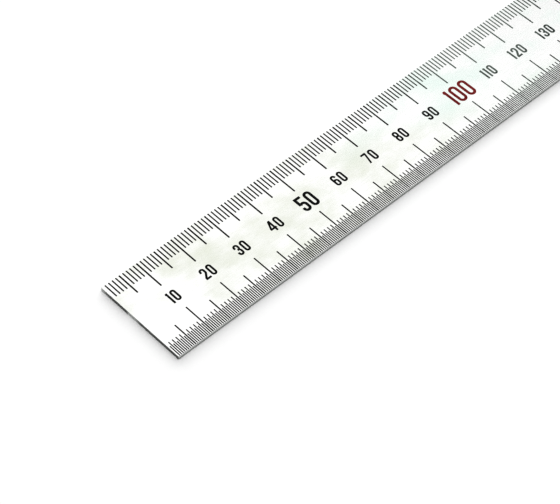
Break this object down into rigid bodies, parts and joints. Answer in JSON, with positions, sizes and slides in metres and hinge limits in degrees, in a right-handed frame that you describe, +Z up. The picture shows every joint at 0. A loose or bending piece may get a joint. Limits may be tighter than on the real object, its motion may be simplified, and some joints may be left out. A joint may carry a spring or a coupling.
{
  "type": "steel ruler",
  "caption": "Flat stainless steel rule with a millimetre scale on one edge, a half-millimetre scale on the other, numbers between them and a hanging hole.",
  "frame": {"origin": "middle of the blade's length and width, on its underside", "axes": "+X along the blade from the zero end to the hanging hole, +Y across it from the half-millimetre edge to the millimetre edge, +Z up out of the numbered face"},
  "size_m": [0.335, 0.025, 0.001],
  "materials": {
    "stainless_steel": "satin, fine grain along the blade",
    "black_enamel": "baked enamel, satin",
    "red_enamel": "baked enamel, satin"
  },
  "bodies": {
    "root": {"blade": "stainless_steel", "millimetre_scale_050": "black_enamel", "millimetre_scale_100": "black_enamel", "millimetre_scale_150": "black_enamel", "millimetre_scale_200": "black_enamel", "millimetre_scale_250": "black_enamel", "millimetre_scale_300": "black_enamel", "half_millimetre_scale_050": "black_enamel", "half_millimetre_scale_100": "black_enamel", "half_millimetre_scale_150": "black_enamel", "half_millimetre_scale_200": "black_enamel", "half_millimetre_scale_250": "black_enamel", "half_millimetre_scale_300": "black_enamel", "number_010": "black_enamel", "number_020": "black_enamel", "number_030": "black_enamel", "number_040": "black_enamel", "number_050": "black_enamel", "number_060": "black_enamel", "number_070": "black_enamel", "number_080": "black_enamel", "number_090": "black_enamel", "number_100": "red_enamel", "number_110": "black_enamel", "number_120": "black_enamel", "number_130": "black_enamel", "number_140": "black_enamel", "number_150": "black_enamel", "number_160": "black_enamel", "number_170": "black_enamel", "number_180": "black_enamel", "number_190": "black_enamel", "number_200": "red_enamel", "number_210": "black_enamel", "number_220": "black_enamel", "number_230": "black_enamel", "number_240": "black_enamel", "number_250": "black_enamel", "number_260": "black_enamel", "number_270": "black_enamel", "number_280": "black_enamel", "number_290": "black_enamel", "number_300": "red_enamel"}
  },
  "joints": []
}
